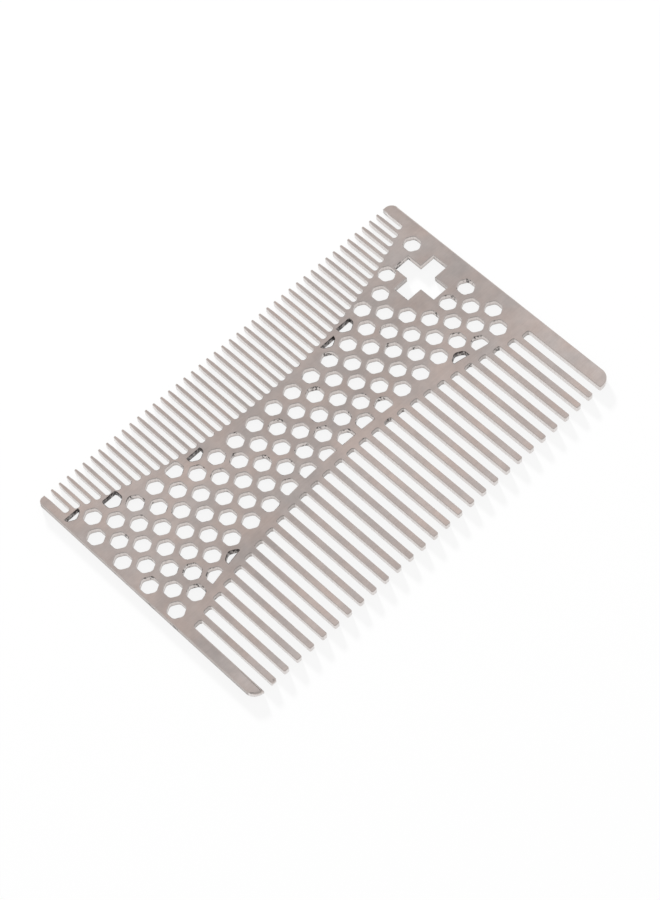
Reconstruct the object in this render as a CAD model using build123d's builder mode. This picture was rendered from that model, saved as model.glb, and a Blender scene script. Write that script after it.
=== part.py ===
"""Beard comb: one flat plate of stainless steel, cut through from face to face.

Frame: X runs along the comb, +Y points to the fine teeth, +Z is up.
The origin is the middle of the underside. All sizes are in millimetres.
"""

import os
from math import sqrt

from build123d import *

os.makedirs("parts", exist_ok=True)

# ---------------------------------------------------------------- plate
comb_length = 85.6
comb_width = 54.0
plate_thickness = 1.3

fine_corner_left = 1.0
fine_corner_right = 1.6
coarse_corner_radius = 2.2

# ---------------------------------------------------------------- fine teeth
fine_pitch = 1.829
fine_tooth_width = 0.62
fine_least_guard = 1.5
fine_pattern_shift = -0.3
fine_longest_tooth = 13.1
fine_shortest_tooth = 5.3
fine_root_radius = 0.5
fine_point_length = 1.5
fine_point_width = 0.42
fine_point_radius = 0.15

# ---------------------------------------------------------------- coarse teeth
coarse_pitch = 2.916
coarse_tooth_width = 1.12
coarse_least_guard = 2.0
coarse_pattern_shift = -0.4
coarse_longest_tooth = 22.4
coarse_shortest_tooth = 17.1
coarse_root_radius = 0.55
coarse_tip_radius = 0.3

# ---------------------------------------------------------------- hexagon holes
hole_across_flats = 3.05
hole_corner_radius = 0.85
hole_pitch = 4.538
hole_row_spacing = 3.358
hole_origin_x = 0.32
hole_origin_y = 1.08
hole_least_depth = 1.07
side_web = 0.7
coarse_web = 1.72

# a hole that runs into the fine slots ends in a flat this far from their ends;
# one whose middle lies nearer than the sliver reach is left as a narrow sliver
fine_web = 0.4
fine_sliver_web = 0.83
fine_sliver_reach = 1.23

# ---------------------------------------------------------------- plus window
window_span = 9.9
window_arm_width = 3.5
window_from_right = 7.95
window_from_fine_edge = 15.35
window_web = 0.45

# the single hole beside the window, measured from the middle of the window
lone_hole_x = -3.6
lone_hole_y = 5.0

# ---------------------------------------------------------------- derived places
half_length = comb_length / 2
fine_edge = comb_width / 2
coarse_edge = -comb_width / 2


def pattern(pitch, tooth_width, least_guard, shift):
    """Centres of the slots that fit between the two end guards."""
    slot_width = pitch - tooth_width
    room = comb_length - 2 * (least_guard + abs(shift)) - slot_width
    count = int(room / pitch) + 1
    start = shift - pitch * (count - 1) / 2
    return [start + pitch * i for i in range(count)]


def arc_of_roots(centres, longest, shortest):
    """Radius of the arc that the slot ends follow, from its rise and half span."""
    half_span = (centres[-1] - centres[0]) / 2
    rise = longest - shortest
    return (half_span**2 + rise**2) / (2 * rise)


def arc_drop(radius, offset):
    """How far an arc has dropped from its crown at a sideways offset."""
    return radius - sqrt(radius**2 - offset**2)


fine_centres = pattern(fine_pitch, fine_tooth_width, fine_least_guard, fine_pattern_shift)
fine_arc_radius = arc_of_roots(fine_centres, fine_longest_tooth, fine_shortest_tooth)
fine_crown = fine_edge - fine_longest_tooth
fine_slot_half = (fine_pitch - fine_tooth_width) / 2
fine_mouth_half = (fine_pitch - fine_point_width) / 2

coarse_centres = pattern(coarse_pitch, coarse_tooth_width, coarse_least_guard, coarse_pattern_shift)
coarse_arc_radius = arc_of_roots(coarse_centres, coarse_longest_tooth, coarse_shortest_tooth)
coarse_crown = coarse_edge + coarse_longest_tooth
coarse_slot_half = (coarse_pitch - coarse_tooth_width) / 2


def fine_root(x):
    """Where the fine slots end at a place along the comb."""
    return fine_crown + arc_drop(fine_arc_radius, x - fine_pattern_shift)


def coarse_root(x):
    """Where the coarse slots end at a place along the comb."""
    return coarse_crown - arc_drop(coarse_arc_radius, x - coarse_pattern_shift)


def fine_limit(x, y):
    """Highest place that a hole with its middle here may reach."""
    web = fine_sliver_web if fine_root(x) - y < fine_sliver_reach else fine_web
    return fine_root(x) - web


def coarse_limit(x):
    """Lowest place a hole may reach above the coarse slots."""
    return coarse_root(x) + coarse_web


window_x = half_length - window_from_right
window_y = fine_edge - window_from_fine_edge
lone_x = window_x + lone_hole_x
lone_y = window_y + lone_hole_y
hole_half_flat = hole_across_flats / 2
hole_sharp_radius = hole_across_flats / sqrt(3)
hole_half_height = hole_sharp_radius - hole_corner_radius * (2 / sqrt(3) - 1)


def clears_window(x, y):
    """True where a hole leaves a full web round the plus window."""
    reach_x = hole_half_flat + window_web
    reach_y = hole_half_height + window_web
    off_x = abs(x - window_x)
    off_y = abs(y - window_y)
    clears_bar = off_x > window_span / 2 + reach_x or off_y > window_arm_width / 2 + reach_y
    clears_post = off_x > window_arm_width / 2 + reach_x or off_y > window_span / 2 + reach_y
    return clears_bar and clears_post


def clears_lone_hole(x, y):
    """True where a hole isn't run into by the single hole beside the window."""
    return (x - lone_x) ** 2 + (y - lone_y) ** 2 > (hole_across_flats + window_web) ** 2


def open_depth(x, y):
    """How much of a hole's height the two limits leave open."""
    top = min(y + hole_half_height, fine_limit(x, y))
    bottom = max(y - hole_half_height, coarse_limit(x))
    return top - bottom


hole_centres = []
rows_each_way = int(comb_width / 2 / hole_row_spacing) + 1
columns_each_way = int(comb_length / 2 / hole_pitch) + 2
for row in range(-rows_each_way, rows_each_way + 1):
    stagger = (row % 2) * hole_pitch / 2
    hole_y = hole_origin_y + row * hole_row_spacing
    for column in range(-columns_each_way, columns_each_way + 1):
        hole_x = hole_origin_x + stagger + column * hole_pitch
        if abs(hole_x) + hole_half_flat + side_web > half_length:
            continue
        if open_depth(hole_x, hole_y) < hole_least_depth:
            continue
        if clears_window(hole_x, hole_y) and clears_lone_hole(hole_x, hole_y):
            hole_centres.append((hole_x, hole_y))
hole_centres.append((lone_x, lone_y))


# ---------------------------------------------------------------- comb plate
with BuildPart() as comb_plate:
    # blank of the plate with its four rounded corners
    with BuildSketch(Plane.XY) as outline:
        Rectangle(comb_length, comb_width)
        fillet(outline.vertices().group_by(Axis.Y)[0], coarse_corner_radius)
        fillet(outline.vertices().group_by(Axis.Y)[-1].sort_by(Axis.X)[0], fine_corner_left)
        fillet(outline.vertices().group_by(Axis.Y)[-1].sort_by(Axis.X)[-1], fine_corner_right)

        # slots between the fine teeth, widening near the points
        with BuildSketch(mode=Mode.PRIVATE) as fine_slots:
            for centre in fine_centres:
                root = fine_root(centre)
                shoulder = fine_edge - fine_point_length
                with Locations((centre, 0)):
                    Polygon(
                        (-fine_slot_half, root),
                        (fine_slot_half, root),
                        (fine_slot_half, shoulder),
                        (fine_mouth_half, fine_edge),
                        (-fine_mouth_half, fine_edge),
                        (-fine_slot_half, shoulder),
                        align=None,
                    )
            root_ends = [v for v in fine_slots.vertices() if v.Y < fine_edge - fine_point_length - 0.1]
            fillet(root_ends, fine_root_radius)
        add(fine_slots.sketch, mode=Mode.SUBTRACT)

        # slots between the coarse teeth
        with BuildSketch(mode=Mode.PRIVATE) as coarse_slots:
            for centre in coarse_centres:
                root = coarse_root(centre)
                with Locations((centre, (root + coarse_edge) / 2)):
                    Rectangle(2 * coarse_slot_half, root - coarse_edge)
            root_ends = [v for v in coarse_slots.vertices() if v.Y > coarse_edge + 0.1]
            fillet(root_ends, coarse_root_radius)
        add(coarse_slots.sketch, mode=Mode.SUBTRACT)

        # rounded tips
        fine_tips = [v for v in outline.vertices() if v.Y > fine_edge - 0.01]
        fine_tips = [v for v in fine_tips if abs(v.X) < fine_centres[-1] + abs(fine_pattern_shift) * 2]
        fillet(fine_tips, fine_point_radius)
        coarse_tips = [v for v in outline.vertices() if v.Y < coarse_edge + 0.01]
        coarse_tips = [v for v in coarse_tips if abs(v.X) < half_length - coarse_corner_radius - 0.01]
        fillet(coarse_tips, coarse_tip_radius)

        # field of hexagon holes, cut short along both rows of slots
        with BuildSketch(mode=Mode.PRIVATE) as holes:
            with Locations(*hole_centres):
                RegularPolygon(hole_sharp_radius, 6, rotation=30)
            fillet(holes.vertices(), hole_corner_radius)
            for hole_x, hole_y in hole_centres:
                excess = hole_y + hole_half_height - fine_limit(hole_x, hole_y)
                if excess > 0:
                    with Locations((hole_x, hole_y + hole_half_height)):
                        Rectangle(hole_across_flats, 2 * excess, mode=Mode.SUBTRACT)
            with BuildSketch(mode=Mode.PRIVATE) as above_coarse:
                with BuildLine():
                    left = -half_length
                    right = half_length
                    lower = ThreePointArc(
                        (left, coarse_limit(left)),
                        (coarse_pattern_shift, coarse_limit(coarse_pattern_shift)),
                        (right, coarse_limit(right)),
                    )
                    Polyline(lower @ 0, (left, fine_edge), (right, fine_edge), lower @ 1)
                make_face()
            add(above_coarse.sketch, mode=Mode.INTERSECT)
        add(holes.sketch, mode=Mode.SUBTRACT)

        # plain plus window
        with Locations((window_x, window_y)):
            Rectangle(window_span, window_arm_width, mode=Mode.SUBTRACT)
            Rectangle(window_arm_width, window_span, mode=Mode.SUBTRACT)
    extrude(amount=plate_thickness)

comb_plate.part.label = "comb_plate"
export_step(comb_plate.part, "parts/comb_plate.step")
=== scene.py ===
"""Looks of the beard comb: one flat plate of satin stainless steel on a white table.

All sizes are in metres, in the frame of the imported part: X runs along the comb,
+Y points to the fine teeth, +Z is up, and the underside lies at zero.
"""

import logging
import math
from dataclasses import dataclass, field
from enum import Enum

import bmesh
import bpy
from mathutils import Matrix, Vector
from mathutils.bvhtree import BVHTree


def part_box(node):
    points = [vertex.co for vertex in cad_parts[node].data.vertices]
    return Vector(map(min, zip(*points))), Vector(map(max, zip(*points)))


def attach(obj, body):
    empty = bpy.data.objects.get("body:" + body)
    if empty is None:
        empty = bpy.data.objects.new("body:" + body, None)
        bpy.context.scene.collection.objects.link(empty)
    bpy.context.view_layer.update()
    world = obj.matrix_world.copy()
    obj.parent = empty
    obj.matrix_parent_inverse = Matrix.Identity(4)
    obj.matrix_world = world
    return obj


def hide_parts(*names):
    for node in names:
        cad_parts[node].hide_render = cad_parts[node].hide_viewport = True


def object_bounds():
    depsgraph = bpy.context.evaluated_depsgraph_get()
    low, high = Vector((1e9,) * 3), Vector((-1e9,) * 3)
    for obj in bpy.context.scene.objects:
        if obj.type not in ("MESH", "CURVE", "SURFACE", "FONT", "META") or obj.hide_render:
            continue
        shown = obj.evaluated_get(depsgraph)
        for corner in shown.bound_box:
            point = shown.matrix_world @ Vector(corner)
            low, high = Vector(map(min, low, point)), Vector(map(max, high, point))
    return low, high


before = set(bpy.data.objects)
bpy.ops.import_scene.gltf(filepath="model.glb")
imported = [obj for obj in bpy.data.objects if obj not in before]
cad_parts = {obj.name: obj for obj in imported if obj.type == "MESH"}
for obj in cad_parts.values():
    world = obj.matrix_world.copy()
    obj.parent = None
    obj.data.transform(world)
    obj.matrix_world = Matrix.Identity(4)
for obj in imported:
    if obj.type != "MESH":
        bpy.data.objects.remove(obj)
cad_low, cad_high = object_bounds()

logging.basicConfig(level=logging.INFO, format="%(message)s")
log = logging.getLogger("beard_comb")

Colour = tuple[float, float, float]

MILLIMETRE = 0.001
PLATE_NODE = "comb_plate"
BODY = "root"


class Surface(Enum):
    """The surfaces of the plate, by the number of their material slot."""

    FACE = 0
    EDGE = 1
    CUT = 2
    BLUNT_CUT = 3
    FLANK = 4
    TINTED_CUT = 5


class Side(Enum):
    """The two flat faces of the plate, by the way their normals point."""

    UPPER = 1
    UNDER = -1


# ---------------------------------------------------------------- materials
@dataclass(frozen=True)
class Noise:
    """One scale of noise: the size of a patch along X, Y and Z, and its finer octaves."""

    size: tuple[float, float, float]
    octaves: float = 3.0
    weight: float = 0.6


@dataclass(frozen=True)
class Spread:
    """The values that a source is spread over, and the part of the source that gives them."""

    low: float
    high: float
    start: float = 0.3
    stop: float = 0.7


class NodeBoard:
    """A node tree with short calls for the nodes that its user needs more than once."""

    MIX_FACTOR = 0
    MIX_FIRST_COLOUR = 6
    MIX_SECOND_COLOUR = 7
    MIX_COLOUR_RESULT = 2

    def __init__(self, tree: bpy.types.NodeTree) -> None:
        """Takes a tree and empties it.

        Args:
            tree: node tree of a material or the world.
        """
        self.tree = tree
        self.tree.nodes.clear()

    def node(self, kind: str, **values: object) -> bpy.types.Node:
        """Adds a node and sets its properties and unlinked inputs.

        Args:
            kind: Blender's name of the node type.
            values: properties by name, and inputs by name with spaces as underscores.

        Returns:
            The new node.
        """
        made = self.tree.nodes.new(kind)
        for name, value in values.items():
            socket = made.inputs.get(name.replace("_", " "))
            if socket is not None:
                socket.default_value = value
            else:
                setattr(made, name, value)
        return made

    def link(self, start: bpy.types.NodeSocket, end: bpy.types.NodeSocket) -> None:
        """Links an output to an input."""
        self.tree.links.new(start, end)

    def noise(self, pattern: Noise) -> bpy.types.NodeSocket:
        """Noise on object coordinates, stretched to a size along each axis.

        Args:
            pattern: size and octaves of the noise.

        Returns:
            The socket with the noise from 0 to 1.
        """
        place = self.node("ShaderNodeTexCoord")
        mapping = self.node("ShaderNodeMapping", Scale=[1 / step for step in Vector(pattern.size)])
        noise = self.node(
            "ShaderNodeTexNoise", Scale=1.0, Detail=pattern.octaves, Roughness=pattern.weight
        )
        self.link(place.outputs["Object"], mapping.inputs["Vector"])
        self.link(mapping.outputs["Vector"], noise.inputs["Vector"])
        return noise.outputs["Fac"]

    def along(self, axis: str) -> bpy.types.NodeSocket:
        """Place along one axis of the object coordinates, in metres."""
        place = self.node("ShaderNodeTexCoord")
        split = self.node("ShaderNodeSeparateXYZ")
        self.link(place.outputs["Object"], split.inputs["Vector"])
        return split.outputs[axis]

    def spread(self, source: bpy.types.NodeSocket, values: Spread) -> bpy.types.NodeSocket:
        """Spreads a part of a source over a range of values.

        Args:
            source: socket with the source.
            values: the range, and the part of the source.

        Returns:
            The socket with the new value.
        """
        made = self.node(
            "ShaderNodeMapRange",
            From_Min=values.start,
            From_Max=values.stop,
            To_Min=values.low,
            To_Max=values.high,
        )
        self.link(source, made.inputs["Value"])
        return made.outputs["Result"]

    def blend(self, factor: bpy.types.NodeSocket, first: Colour, second: Colour) -> bpy.types.NodeSocket:
        """Mixes two colours.

        Args:
            factor: socket with the share of the second colour.
            first: colour at 0.
            second: colour at 1.

        Returns:
            The socket with the mixed colour.
        """
        mix = self.node("ShaderNodeMix", data_type="RGBA")
        mix.inputs[self.MIX_FIRST_COLOUR].default_value = (*first, 1)
        mix.inputs[self.MIX_SECOND_COLOUR].default_value = (*second, 1)
        self.link(factor, mix.inputs[self.MIX_FACTOR])
        return mix.outputs[self.MIX_COLOUR_RESULT]

    def multiply(self, first: bpy.types.NodeSocket, *shares: bpy.types.NodeSocket) -> bpy.types.NodeSocket:
        """Multiplies a colour or value by one or more grey values.

        Args:
            first: socket with the colour or value.
            shares: sockets with the grey values.

        Returns:
            The socket with the product.
        """
        product = first
        for share in shares:
            made = self.node("ShaderNodeVectorMath", operation="MULTIPLY")
            self.link(product, made.inputs[0])
            self.link(share, made.inputs[1])
            product = made.outputs["Vector"]
        return product

    def compute(
        self, operation: str, first: bpy.types.NodeSocket, second: bpy.types.NodeSocket | float = 0.0
    ) -> bpy.types.NodeSocket:
        """Does one step of arithmetic.

        Args:
            operation: Blender's name of the operation.
            first: socket with the first value.
            second: socket with the second value, or a constant.

        Returns:
            The socket with the result.
        """
        made = self.node("ShaderNodeMath", operation=operation)
        self.link(first, made.inputs[0])
        if isinstance(second, float):
            made.inputs[1].default_value = second
        else:
            self.link(second, made.inputs[1])
        return made.outputs["Value"]

    def seen_ray(self) -> bpy.types.NodeSocket:
        """Tells the rays that see a surface from those that gather its light.

        Returns:
            The socket that is 1 for camera, glossy and transmission rays.
        """
        path = self.node("ShaderNodeLightPath")
        total = path.outputs["Is Camera Ray"]
        for name in ("Is Glossy Ray", "Is Transmission Ray"):
            total = self.compute("MAXIMUM", total, path.outputs[name])
        return total


class MaterialBoard(NodeBoard):
    """The node tree of a new material."""

    def __init__(self, name: str) -> None:
        """Makes an empty material.

        Args:
            name: name of the material.
        """
        self.material = bpy.data.materials.new(name)
        self.material.use_nodes = True
        super().__init__(self.material.node_tree)
        self.output = self.node("ShaderNodeOutputMaterial")

    def bump(
        self, height: bpy.types.NodeSocket, depth: float, below: bpy.types.NodeSocket | None = None
    ) -> bpy.types.NodeSocket:
        """Bumps the surface by a height from 0 to 1.

        Args:
            height: socket with the height.
            depth: real height at 1, in metres.
            below: normal of a coarser bump under this one.

        Returns:
            The socket with the normal.
        """
        made = self.node("ShaderNodeBump", Strength=1.0, Distance=depth)
        self.link(height, made.inputs["Height"])
        if below is not None:
            self.link(below, made.inputs["Normal"])
        return made.outputs["Normal"]

    def metal(
        self, colour: bpy.types.NodeSocket, roughness: bpy.types.NodeSocket, normal: bpy.types.NodeSocket
    ) -> bpy.types.Material:
        """Closes the tree with a metal shader.

        Args:
            colour: socket with the base colour.
            roughness: socket with the roughness.
            normal: socket with the bumped normal.

        Returns:
            The finished material.
        """
        shader = self.node("ShaderNodeBsdfPrincipled", Metallic=1.0)
        self.link(colour, shader.inputs["Base Color"])
        self.link(roughness, shader.inputs["Roughness"])
        self.link(normal, shader.inputs["Normal"])
        self.link(shader.outputs["BSDF"], self.output.inputs["Surface"])
        return self.material


@dataclass(frozen=True)
class SatinFace:
    """Satin ground faces: warm and cool clouds, faint grain, and painted light that brightens them towards
    the coarse teeth.
    """

    warm: Colour = (0.608, 0.506, 0.464)
    cool: Colour = (0.556, 0.497, 0.474)
    cloud: Noise = Noise((0.009, 0.007, 0.009), weight=0.55)
    drift: Noise = Noise((0.034, 0.026, 0.030), octaves=2.0, weight=0.5)
    mottle: Noise = Noise((0.0024, 0.0020, 0.0024))
    grain: Noise = Noise((0.0060, 0.00022, 0.0010), octaves=4.0)
    pits: Noise = Noise((0.00034, 0.00030, 0.00034))
    cloud_share: Spread = Spread(0.0, 1.0, start=0.35, stop=0.65)
    drift_value: Spread = Spread(0.88, 1.12)
    mottle_value: Spread = Spread(0.93, 1.07)
    grain_value: Spread = Spread(0.96, 1.04)
    # painted light: the face is made brighter towards the coarse teeth
    painted_light_slope: Spread = Spread(0.965, 1.12, start=-4.0 * MILLIMETRE, stop=-24.0 * MILLIMETRE)
    roughness: Spread = Spread(0.31, 0.41)
    grain_depth: float = 0.0030 * MILLIMETRE
    pit_depth: float = 0.0040 * MILLIMETRE

    def make(self) -> bpy.types.Material:
        """Makes the material."""
        board = MaterialBoard("satin_face")
        clouds = board.spread(board.noise(self.cloud), self.cloud_share)
        grain = board.noise(self.grain)
        shaded = board.multiply(
            board.blend(clouds, self.cool, self.warm),
            board.spread(board.noise(self.drift), self.drift_value),
            board.spread(board.noise(self.mottle), self.mottle_value),
            board.spread(grain, self.grain_value),
            board.spread(board.along("Y"), self.painted_light_slope),
        )
        lines = board.bump(grain, self.grain_depth)
        pitted = board.bump(board.noise(self.pits), self.pit_depth, lines)
        return board.metal(shaded, board.spread(grain, self.roughness), pitted)


@dataclass(frozen=True)
class StreakedMetal:
    """Metal in two colours, mixed by one noise that also gives its roughness and relief."""

    name: str
    low: Colour
    high: Colour
    streaks: Noise
    roughness: Spread
    depth: float
    high_share: Spread = Spread(0.0, 1.0)

    def shade(self, board: MaterialBoard, colour: bpy.types.NodeSocket) -> bpy.types.NodeSocket:
        """Leaves the mixed colour as it is; a finish with more to it overrides this.

        Args:
            board: the material's board.
            colour: socket with the mixed colour.

        Returns:
            The socket with the final colour.
        """
        return colour

    def make(self) -> bpy.types.Material:
        """Makes the material."""
        board = MaterialBoard(self.name)
        streaks = board.noise(self.streaks)
        colour = board.blend(board.spread(streaks, self.high_share), self.low, self.high)
        roughness = board.spread(streaks, self.roughness)
        return board.metal(self.shade(board, colour), roughness, board.bump(streaks, self.depth))


@dataclass(frozen=True)
class BurnishedEdge(StreakedMetal):
    """Rounded edges, worn a little smoother and brighter than the faces."""

    name: str = "burnished_edge"
    low: Colour = (0.56, 0.49, 0.46)
    high: Colour = (0.64, 0.58, 0.55)
    streaks: Noise = Noise((0.0016, 0.0016, 0.0016))
    roughness: Spread = Spread(0.35, 0.25)
    depth: float = 0.002 * MILLIMETRE


@dataclass(frozen=True)
class CutWall(StreakedMetal):
    """Walls as the cut left them, with drag lines and burnt specks, and painted shade that darkens the
    foot and the rims.
    """

    name: str = "cut_wall"
    low: Colour = (0.64, 0.585, 0.56)
    high: Colour = (0.76, 0.70, 0.67)
    streaks: Noise = Noise((0.00024, 0.00024, 0.0030))
    roughness: Spread = Spread(0.40, 0.30)
    depth: float = 0.006 * MILLIMETRE
    middle: float = (cad_low.z + cad_high.z) / 2
    # painted shade: darker towards the upper and lower rims
    rims: Spread = Spread(1.0, 0.80, start=0.40 * MILLIMETRE, stop=0.58 * MILLIMETRE)
    # painted shade: darker towards the foot, where the wall meets the table
    foot: Spread = Spread(0.72, 1.0, start=0.15 * MILLIMETRE, stop=0.75 * MILLIMETRE)
    specks: Noise = Noise((0.00042, 0.00042, 0.00060), octaves=1.0, weight=0.5)
    speck_field: Noise = Noise((0.0036, 0.0030, 0.0036), octaves=1.0, weight=0.5)
    speck_share: Spread = Spread(0.0, 1.0, start=0.50, stop=0.58)
    field_share: Spread = Spread(0.0, 1.0, start=0.59, stop=0.64)
    burn: Spread = Spread(1.0, 0.22, start=0.0, stop=1.0)

    def shade(self, board: MaterialBoard, colour: bpy.types.NodeSocket) -> bpy.types.NodeSocket:
        """Paints shade on the rims and the foot, and burns the specks.

        Args:
            board: the material's board.
            colour: socket with the mixed colour.

        Returns:
            The socket with the final colour.
        """
        height = board.along("Z")
        away = board.compute("ABSOLUTE", board.compute("SUBTRACT", height, self.middle))
        speckled = board.multiply(
            board.spread(board.noise(self.speck_field), self.field_share),
            board.spread(board.noise(self.specks), self.speck_share),
        )
        # painted shade at the rims and the foot; the burnt specks are marks of the cut
        return board.multiply(
            colour,
            board.spread(away, self.rims),
            board.spread(height, self.foot),
            board.spread(speckled, self.burn),
        )


@dataclass(frozen=True)
class ShadedCutWall(CutWall):
    """The same walls at the ends of the slots and the sides of the plate, in a darker copy: painted shade.
    """

    name: str = "cut_wall_painted_shade"
    # painted shade: a darker copy of the cut wall's colours
    low: Colour = (0.47, 0.43, 0.41)
    high: Colour = (0.56, 0.51, 0.485)


@dataclass(frozen=True)
class PaintedSheenFlank(StreakedMetal):
    """Sides and ends of the teeth, in a lighter copy of the cut wall: painted sheen."""

    name: str = "flank_painted_sheen"
    # painted sheen: a lighter copy of the cut wall's colours
    low: Colour = (0.71, 0.67, 0.65)
    high: Colour = (0.81, 0.77, 0.75)
    streaks: Noise = Noise((0.00028, 0.00028, 0.0030))
    roughness: Spread = Spread(0.33, 0.23)
    depth: float = 0.004 * MILLIMETRE


@dataclass(frozen=True)
class ShadedNarrowWall(StreakedMetal):
    """Walls of the narrow openings, dark in patches: painted shade."""

    name: str = "narrow_wall_painted_shade"
    # painted shade: near black patches in the narrow openings
    low: Colour = (0.060, 0.050, 0.048)
    high: Colour = (0.50, 0.46, 0.44)
    streaks: Noise = Noise((0.00050, 0.00050, 0.0010), octaves=2.0, weight=0.65)
    roughness: Spread = Spread(0.42, 0.32)
    depth: float = 0.020 * MILLIMETRE
    high_share: Spread = Spread(0.0, 1.0, start=0.42, stop=0.72)


@dataclass(frozen=True)
class WhiteTable:
    """Matt white top that shows as plain white and keeps a pale shadow."""

    white: Colour = (0.90, 0.90, 0.90)
    glow: float = 1.0
    glow_share: float = 0.864

    def make(self) -> bpy.types.Material:
        """Makes the material."""
        board = MaterialBoard("white_table")
        matt = board.node("ShaderNodeBsdfDiffuse", Color=(*self.white, 1))
        glow = board.node("ShaderNodeEmission", Color=(1, 1, 1, 1), Strength=self.glow)
        mix = board.node("ShaderNodeMixShader")
        board.link(board.compute("MULTIPLY", board.seen_ray(), self.glow_share), mix.inputs["Fac"])
        board.link(matt.outputs["BSDF"], mix.inputs[1])
        board.link(glow.outputs["Emission"], mix.inputs[2])
        board.link(mix.outputs["Shader"], board.output.inputs["Surface"])
        return board.material


# ---------------------------------------------------------------- comb plate
@dataclass
class CombPlate:
    """The comb's one piece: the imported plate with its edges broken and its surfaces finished.

    Attributes:
        name: name of the piece.
        edge_break: width of the rounding along most rims.
        tip_break: its width at the ends of the coarse teeth.
        side_break: its width along the left and right sides.
        nose_break: its width at the left end of the coarse edge.
        nose_width: how far along and across the plate that end reaches.
        edge_steps: facets across a rounding.
        web_share: most of the metal behind a rim that its rounding may take.
        narrow_fine: least clear depth of an opening by the fine slots.
        narrow_coarse: least clear depth of an opening by the coarse slots.
        end_reach: how far the ends of the teeth reach in from the two long edges.
        side_reach: how far the left and right sides reach in.
        thick_metal: thickness that stands for metal with no wall behind it.
        weld: distance under which corners merge.
        sharp_corner: angle from which a corner is shaded sharp.
        flat_face: least upward share of the normal of a flat face.
        level_face: the same, to tell faces from walls before the rims are rounded.
        sloped_rim: the same, to tell rims from walls.
        end_facing: least share along Y of the normal of a slot end.
        side_facing: least share along X of the normal of a side.
        low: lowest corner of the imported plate's box.
        high: highest corner of that box.
        piece: the piece, once it is there.
        metal_behind: thickness of the metal by place on the plan.
    """

    name: str = "satin_comb_plate"
    edge_break: float = 0.12 * MILLIMETRE
    tip_break: float = 0.16 * MILLIMETRE
    side_break: float = 0.26 * MILLIMETRE
    nose_break: float = 0.52 * MILLIMETRE
    nose_width: float = 5.0 * MILLIMETRE
    edge_steps: int = 3
    web_share: float = 0.35
    narrow_fine: float = 2.75 * MILLIMETRE
    narrow_coarse: float = 2.1 * MILLIMETRE
    end_reach: float = 1.0 * MILLIMETRE
    side_reach: float = 0.1 * MILLIMETRE
    thick_metal: float = 5.0 * MILLIMETRE
    weld: float = 0.002 * MILLIMETRE
    sharp_corner: float = math.radians(35)
    flat_face: float = 0.999
    level_face: float = 0.5
    sloped_rim: float = 0.05
    end_facing: float = 0.5
    side_facing: float = 0.99
    low: Vector = field(init=False)
    high: Vector = field(init=False)
    piece: bpy.types.Object = field(init=False)
    metal_behind: dict[tuple[int, int], float] = field(init=False)

    def build(self) -> bpy.types.Object:
        """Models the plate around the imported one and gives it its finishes.

        Returns:
            The finished piece.
        """
        self.low, self.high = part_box(PLATE_NODE)
        self.piece = self.copy_of_node()
        self.open_faces()
        self.metal_behind = self.measure_metal()
        for side in Side:
            self.round_rims(side)
        self.dress()
        self.part_finishes()
        self.shade_smooth()
        return self.piece

    def copy_of_node(self) -> bpy.types.Object:
        """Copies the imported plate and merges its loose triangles.

        Returns:
            The copy, as the active object.
        """
        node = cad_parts[PLATE_NODE]
        bpy.ops.object.select_all(action="DESELECT")
        node.select_set(True)
        bpy.context.view_layer.objects.active = node
        bpy.ops.object.duplicate()
        copy = bpy.context.view_layer.objects.active
        copy.name = self.name
        copy.data.name = self.name
        copy.parent = None
        for key in list(copy.keys()):
            del copy[key]
        bpy.ops.object.mode_set(mode="EDIT")
        bpy.ops.mesh.select_all(action="SELECT")
        bpy.ops.mesh.remove_doubles(threshold=self.weld)
        bpy.ops.object.mode_set(mode="OBJECT")
        return copy

    def open_faces(self) -> None:
        """Takes away the two flat faces and leaves the walls."""
        bpy.ops.object.mode_set(mode="EDIT")
        bpy.ops.mesh.select_mode(type="FACE")
        bpy.ops.mesh.select_all(action="DESELECT")
        shape = bmesh.from_edit_mesh(self.piece.data)
        for face in shape.faces:
            face.select = abs(face.normal.z) > self.level_face
        bmesh.update_edit_mesh(self.piece.data)
        bpy.ops.mesh.delete(type="FACE")
        bpy.ops.object.mode_set(mode="OBJECT")

    def break_at(self, point: Vector, outward: Vector) -> float:
        """Width of the rounding at a place on a rim.

        Args:
            point: place on the rim.
            outward: direction out of the metal there.

        Returns:
            The width, in metres.
        """
        facing = outward.normalized()
        width = self.edge_break
        if point.y < self.low.y + self.nose_width:
            at_nose = point.x < self.low.x + self.nose_width
            widest = self.nose_break if at_nose else self.tip_break
            width += (widest - width) * max(0.0, -facing.y) ** 2
        elif abs(facing.x) > self.side_facing and self.at_side(point):
            width = self.side_break
        return min(width, self.web_share * self.metal_behind[self.place_of(point)])

    def at_side(self, point: Vector) -> bool:
        """True at the left or right side of the plate."""
        return not self.low.x + self.side_reach < point.x < self.high.x - self.side_reach

    def place_of(self, point: Vector) -> tuple[int, int]:
        """Place of an upright edge on the plan, rounded so that its two ends agree."""
        return round(point.x / self.weld), round(point.y / self.weld)

    def measure_metal(self) -> dict[tuple[int, int], float]:
        """Measures the metal behind each upright edge of the walls, straight in from its walls.

        Returns:
            The least thickness by place; both sides of a thin web have the same.
        """
        bpy.ops.object.mode_set(mode="EDIT")
        shape = bmesh.from_edit_mesh(self.piece.data)
        shape.faces.ensure_lookup_table()
        walls = BVHTree.FromBMesh(shape)
        middle = (self.low.z + self.high.z) / 2
        least = {self.place_of(vert.co): self.thick_metal for vert in shape.verts}
        for face in shape.faces:
            for vert in face.verts:
                start = Vector((vert.co.x, vert.co.y, middle)) - face.normal * self.weld
                _, _, behind, depth = walls.ray_cast(start, -face.normal)
                if behind is None:
                    continue
                for end in (vert, *shape.faces[behind].verts):
                    place = self.place_of(end.co)
                    least[place] = min(least[place], depth)
        bpy.ops.object.mode_set(mode="OBJECT")
        return least

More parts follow.
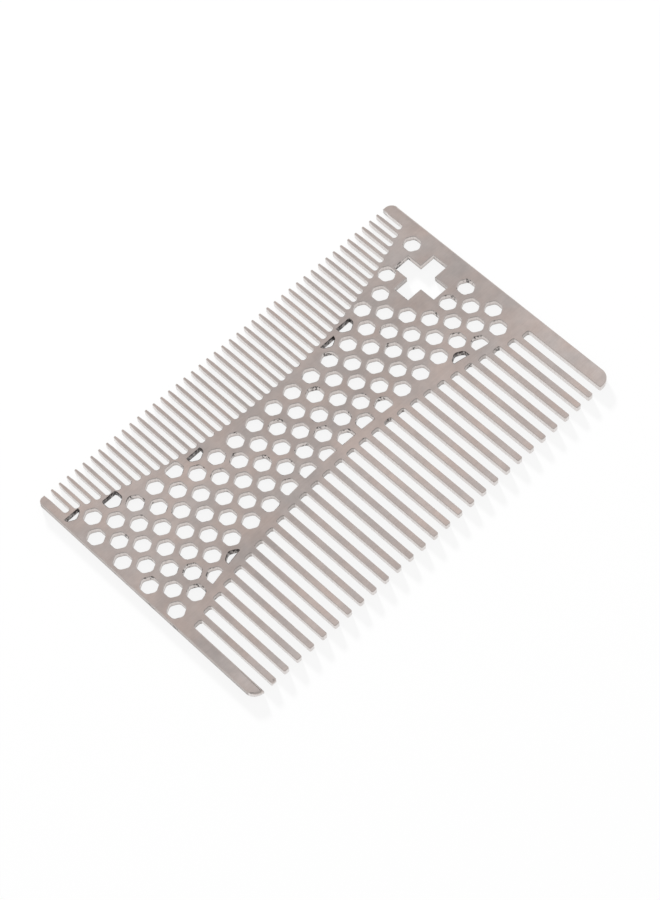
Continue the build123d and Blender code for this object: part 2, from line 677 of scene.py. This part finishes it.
    def round_rims(self, side: Side) -> None:
        """Rounds the rims of one side, inwards from the outline, and fills the face between them.

        Args:
            side: the face to round and fill.
        """
        level = self.high.z if side is Side.UPPER else self.low.z
        bpy.ops.object.mode_set(mode="EDIT")
        bpy.ops.mesh.select_mode(type="EDGE")
        bpy.ops.mesh.select_all(action="DESELECT")
        shape = bmesh.from_edit_mesh(self.piece.data)
        outward = shape.verts.layers.float_vector.new("outward")
        width = shape.verts.layers.float.new("width")
        for vert in shape.verts:
            rim = [edge for edge in vert.link_edges if edge.is_boundary]
            if len(rim) != 2 or abs(vert.co.z - level) > self.weld:
                continue
            first, second = (edge.link_faces[0].normal for edge in rim)
            vert[outward] = (first + second) / (1 + first.dot(second))
            vert[width] = self.break_at(vert.co, vert[outward])
            vert.co.z -= side.value * vert[width]
            for edge in rim:
                edge.select = True
        shape.select_flush(True)
        bmesh.update_edit_mesh(self.piece.data)

        quarter = math.pi / 2
        for step in range(self.edge_steps):
            before, after = (quarter * count / self.edge_steps for count in (step, step + 1))
            inward = math.cos(before) - math.cos(after)
            upward = side.value * (math.sin(after) - math.sin(before))
            bpy.ops.mesh.extrude_edges_indiv()
            shape = bmesh.from_edit_mesh(self.piece.data)
            outward = shape.verts.layers.float_vector["outward"]
            width = shape.verts.layers.float["width"]
            for vert in shape.verts:
                if vert.select:
                    vert.co += vert[width] * (Vector((0, 0, upward)) - inward * vert[outward])
            bmesh.update_edit_mesh(self.piece.data)

        bpy.ops.mesh.fill(use_beauty=True)
        shape = bmesh.from_edit_mesh(self.piece.data)
        shape.verts.layers.float_vector.remove(shape.verts.layers.float_vector["outward"])
        shape.verts.layers.float.remove(shape.verts.layers.float["width"])
        bmesh.update_edit_mesh(self.piece.data)
        bpy.ops.object.mode_set(mode="OBJECT")

    def part_finishes(self) -> None:
        """Turns all faces outwards and sorts them into the surfaces of the plate."""
        bpy.ops.object.mode_set(mode="EDIT")
        bpy.ops.mesh.select_all(action="SELECT")
        bpy.ops.mesh.normals_make_consistent(inside=False)
        shape = bmesh.from_edit_mesh(self.piece.data)
        for face in shape.faces:
            flat = abs(face.normal.z) > self.flat_face
            face.material_index = (Surface.FACE if flat else Surface.CUT).value
        walls = self.walls(shape)
        outline = max(walls, key=len)
        for wall in walls:
            narrow = self.is_narrow(wall)
            for face in wall:
                if wall is outline:
                    face.material_index = self.outline_surface(face).value
                elif narrow:
                    # narrow openings take the walls with painted shade
                    face.material_index = Surface.TINTED_CUT.value
        bmesh.update_edit_mesh(self.piece.data)
        bpy.ops.object.mode_set(mode="OBJECT")

    @staticmethod
    def walls(shape: bmesh.types.BMesh) -> list[list[bmesh.types.BMFace]]:
        """Gathers the cut walls and their rims by the opening or outline that they go round.

        Args:
            shape: the plate in edit mode.

        Returns:
            One list of faces for each opening, and one for the outline.
        """
        left = {face for face in shape.faces if face.material_index != Surface.FACE.value}
        walls = []
        while left:
            wall, edge_of_search = [], [left.pop()]
            while edge_of_search:
                face = edge_of_search.pop()
                wall.append(face)
                beside = {other for edge in face.edges for other in edge.link_faces} & left
                left -= beside
                edge_of_search.extend(beside)
            walls.append(wall)
        return walls

    def outline_surface(self, face: bmesh.types.BMFace) -> Surface:
        """Finish of a wall or rim of the outline.

        Args:
            face: the face, with its normal outwards.

        Returns:
            The cut finish darkened with painted shade at slot ends and plain sides, the burnished finish
            on rims, and the flank finish lightened with painted sheen on the teeth.
        """
        middle = face.calc_center_median()
        facing = Vector((face.normal.x, face.normal.y)).normalized()
        inside = self.low.y + self.end_reach < middle.y < self.high.y - self.end_reach
        if inside and abs(facing.y) > self.end_facing:
            # slot ends take the cut wall with painted shade
            return Surface.BLUNT_CUT
        if abs(face.normal.z) > self.sloped_rim:
            return Surface.EDGE
        # plain sides take the cut wall with painted shade, the teeth the flank with painted sheen
        return Surface.BLUNT_CUT if self.at_side(middle) else Surface.FLANK

    def is_narrow(self, wall: list[bmesh.types.BMFace]) -> bool:
        """Tells whether an opening was cut short and is narrow, so that its walls take painted shade.

        Args:
            wall: faces of its walls and rims.

        Returns:
            True for a narrow opening.
        """
        places = [vert.co.y for face in wall for vert in face.verts]
        limit = self.narrow_fine if min(places) > 0 else self.narrow_coarse
        return max(places) - min(places) < limit + 2 * self.edge_break

    def dress(self) -> None:
        """Puts a finish into the material slot of each surface."""
        finishes = {
            Surface.FACE: SatinFace(),
            Surface.EDGE: BurnishedEdge(),
            Surface.CUT: CutWall(),
            Surface.BLUNT_CUT: ShadedCutWall(),
            Surface.FLANK: PaintedSheenFlank(),
            Surface.TINTED_CUT: ShadedNarrowWall(),
        }
        materials = self.piece.data.materials
        materials.clear()
        for surface in Surface:
            materials.append(finishes[surface].make())

    def shade_smooth(self) -> None:
        """Shades the walls and rounded edges smooth, and keeps the faces flat."""
        mesh = self.piece.data
        bpy.ops.object.select_all(action="DESELECT")
        self.piece.select_set(True)
        bpy.context.view_layer.objects.active = self.piece
        bpy.ops.object.shade_smooth_by_angle(angle=self.sharp_corner)
        bpy.ops.object.mode_set(mode="EDIT")
        shape = bmesh.from_edit_mesh(mesh)
        for edge in shape.edges:
            flat = [face.material_index == Surface.FACE.value for face in edge.link_faces]
            if any(flat) and not all(flat):
                edge.smooth = False
        bmesh.update_edit_mesh(mesh)
        bpy.ops.object.mode_set(mode="OBJECT")


# ---------------------------------------------------------------- studio
@dataclass
class Studio:
    """White table top, soft white surroundings and one low lamp behind the comb."""

    floor_span: float = 6.0
    floor_gap: float = 0.02 * MILLIMETRE
    ambient: float = 0.62
    horizon: float = 1.0
    zenith: float = 0.72
    dim_side: float = 0.58
    dim_reach: float = 0.8
    dim_heading: float = math.radians(228.9)
    lamp_power: float = 40.0
    lamp_distance: float = 1.5
    lamp_width: float = 0.22
    lamp_height: float = 0.12
    lamp_heading: float = math.radians(65.0)
    lamp_elevation: float = math.radians(16.4)

    def build(self, middle: Vector, underside: float) -> None:
        """Sets up the table, the surroundings and the lamp.

        Args:
            middle: middle of the comb.
            underside: height of the surface that the comb lies on.
        """
        self.lay_table(underside)
        self.light_surroundings()
        self.hang_lamp(middle)

    def lay_table(self, underside: float) -> None:
        """Lays the table top under the comb.

        Args:
            underside: height of the comb's underside.
        """
        bpy.ops.object.select_all(action="DESELECT")
        bpy.ops.mesh.primitive_plane_add(size=self.floor_span, location=(0, 0, underside - self.floor_gap))
        table = bpy.context.active_object
        table.name = "table_top"
        table.data.materials.append(WhiteTable().make())

    def light_surroundings(self) -> None:
        """Makes white surroundings that dim overhead and on the side of the coarse teeth."""
        world = bpy.data.worlds.new("white_studio")
        bpy.context.scene.world = world
        world.use_nodes = True
        board = NodeBoard(world.node_tree)

        place = board.node("ShaderNodeTexCoord").outputs["Generated"]
        split = board.node("ShaderNodeSeparateXYZ")
        board.link(place, split.inputs["Vector"])
        dome = board.spread(split.outputs["Z"], Spread(self.horizon, self.zenith, start=0.0, stop=1.0))
        towards_dim = board.node("ShaderNodeVectorMath", operation="DOT_PRODUCT")
        towards_dim.inputs[1].default_value = direction(self.dim_heading, 0.0)
        board.link(place, towards_dim.inputs[0])
        dimming = Spread(1.0, self.dim_side, start=0.0, stop=self.dim_reach)
        side = board.spread(towards_dim.outputs["Value"], dimming)

        indirect = board.node("ShaderNodeMix", A=self.ambient)
        board.link(board.seen_ray(), indirect.inputs["Factor"])
        board.link(board.compute("MULTIPLY", dome, side), indirect.inputs["B"])
        strength = board.node("ShaderNodeMix", B=1.0)
        camera_ray = board.node("ShaderNodeLightPath").outputs["Is Camera Ray"]
        board.link(camera_ray, strength.inputs["Factor"])
        board.link(indirect.outputs["Result"], strength.inputs["A"])

        background = board.node("ShaderNodeBackground", Color=(1, 1, 1, 1))
        output = board.node("ShaderNodeOutputWorld")
        board.link(strength.outputs["Result"], background.inputs["Strength"])
        board.link(background.outputs["Background"], output.inputs["Surface"])

    def hang_lamp(self, middle: Vector) -> None:
        """Hangs the low strip lamp behind the fine teeth, facing the comb.

        Args:
            middle: middle of the comb.
        """
        towards = direction(self.lamp_heading, self.lamp_elevation)
        lamp = bpy.data.lights.new("low_lamp", "AREA")
        lamp.shape = "RECTANGLE"
        lamp.size = self.lamp_width
        lamp.size_y = self.lamp_height
        lamp.energy = self.lamp_power
        holder = bpy.data.objects.new("low_lamp", lamp)
        bpy.context.scene.collection.objects.link(holder)
        holder.location = middle + towards * self.lamp_distance
        holder.rotation_euler = towards.to_track_quat("Z", "Y").to_euler()
        holder.visible_glossy = False


@dataclass
class Viewpoint:
    """Long lens that looks down on the comb over its coarse teeth and its left end."""

    lens: float = 119.28
    sensor: float = 36.0
    heading: float = math.radians(51.595)
    elevation: float = math.radians(59.154)
    roll: float = math.radians(-6.911)
    distance: float = 511.50 * MILLIMETRE
    clip_factor: float = 100.0
    aim_along: float = -1.145 * MILLIMETRE
    aim_across: float = -2.099 * MILLIMETRE

    def build(self, middle: Vector, top: float) -> bpy.types.Object:
        """Places the camera.

        Args:
            middle: middle of the comb.
            top: height of its upper face.

        Returns:
            The camera.
        """
        aim = Vector((middle.x + self.aim_along, middle.y + self.aim_across, top))
        back = -direction(self.heading, -self.elevation)
        data = bpy.data.cameras.new("long_lens")
        data.lens = self.lens
        data.sensor_width = self.sensor
        data.clip_start = self.distance / self.clip_factor
        data.clip_end = self.distance * self.clip_factor
        camera = bpy.data.objects.new("long_lens", data)
        bpy.context.scene.collection.objects.link(camera)
        turn = back.to_track_quat("Z", "Y").to_matrix() @ Matrix.Rotation(self.roll, 3, "Z")
        camera.matrix_world = Matrix.Translation(aim + back * self.distance) @ turn.to_4x4()
        bpy.context.scene.camera = camera
        return camera


def direction(heading: float, elevation: float) -> Vector:
    """Unit vector at an angle from +X towards +Y and an angle above the table.

    Args:
        heading: angle from +X towards +Y, in radians.
        elevation: angle above the table, in radians.

    Returns:
        The vector.
    """
    flat = math.cos(elevation)
    return Vector((flat * math.cos(heading), flat * math.sin(heading), math.sin(elevation)))


def main() -> None:
    """Builds the comb and the studio around it."""
    plate = CombPlate().build()
    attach(plate, BODY)
    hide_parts(PLATE_NODE)
    log.info("%s: %d faces", plate.name, len(plate.data.polygons))

    middle = (cad_low + cad_high) / 2
    Studio().build(middle, cad_low.z)
    Viewpoint().build(middle, cad_high.z)
    bpy.context.scene.view_settings.view_transform = "Standard"


if __name__ == "__main__":
    main()
